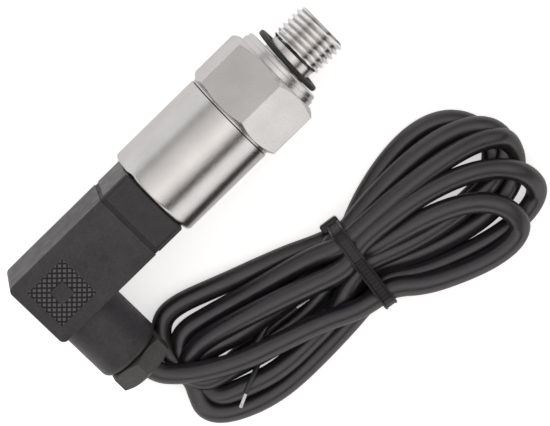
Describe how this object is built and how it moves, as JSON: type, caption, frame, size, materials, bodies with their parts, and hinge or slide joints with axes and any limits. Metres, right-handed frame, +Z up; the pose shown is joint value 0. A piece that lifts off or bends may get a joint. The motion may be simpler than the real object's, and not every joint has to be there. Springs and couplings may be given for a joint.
{
  "type": "pressure transmitter",
  "caption": "Pressure transmitter with a threaded hexagon fitting, steel tube and square cable plug, its cable tied in a flat hank beside it.",
  "frame": {"origin": "on the sensor axis at the sealing face, the front face of the round collar", "axes": "+X along the sensor axis towards the threaded end, +Z up from the floor that the part lies on"},
  "size_m": [0.1087, 0.084, 0.0272],
  "materials": {
    "fitting_steel": "turned bright stainless steel",
    "tube_steel": "drawn and brushed stainless steel",
    "washer_rubber": "satin black elastomer",
    "cell_ceramic": "ground white ceramic",
    "seal_rubber": "satin black elastomer",
    "spacer_plastic": "natural engineering plastic",
    "inner_steel": "plated steel",
    "pin_metal": "plated pins",
    "board": "green coated laminate",
    "component_plastic": "moulded black parts",
    "base_plastic": "semi-gloss black moulding",
    "contact_metal": "plated contacts",
    "gasket_rubber": "satin black elastomer",
    "plug_plastic": "fine textured black moulding",
    "insert_plastic": "black moulding",
    "screw_steel": "plated steel",
    "nut_plastic": "satin black moulding",
    "washer_plastic": "natural plastic",
    "cable_jacket": "satin black cable jacket",
    "core_plastic": "insulated cores",
    "tie_plastic": "black moulded tie",
    "strand_metal": "tinned strands"
  },
  "bodies": {
    "root": {"process_fitting": "fitting_steel", "housing_tube": "tube_steel", "sealing_washer": "washer_rubber", "sensor_cell": "cell_ceramic", "cell_o_ring": "seal_rubber", "cell_spacer": "spacer_plastic", "retaining_ring": "inner_steel", "cell_leads": "pin_metal", "circuit_board": "board", "board_components": "component_plastic", "connector_base": "base_plastic", "contact_blades": "contact_metal", "base_seal": "seal_rubber", "profile_gasket": "gasket_rubber", "plug_housing": "plug_plastic", "terminal_insert": "insert_plastic", "socket_contacts": "contact_metal", "terminal_screws": "inner_steel", "plug_screw": "screw_steel", "screw_seal": "seal_rubber", "gland_nut": "nut_plastic", "gland_washer": "washer_plastic", "gland_seal": "seal_rubber", "cable_entry": "cable_jacket", "plug_wires": "core_plastic", "cable_lead": "cable_jacket", "cable_hank": "cable_jacket", "cable_tie": "tie_plastic", "core_long": "core_plastic", "core_short": "core_plastic", "core_tips": "strand_metal"}
  },
  "joints": []
}
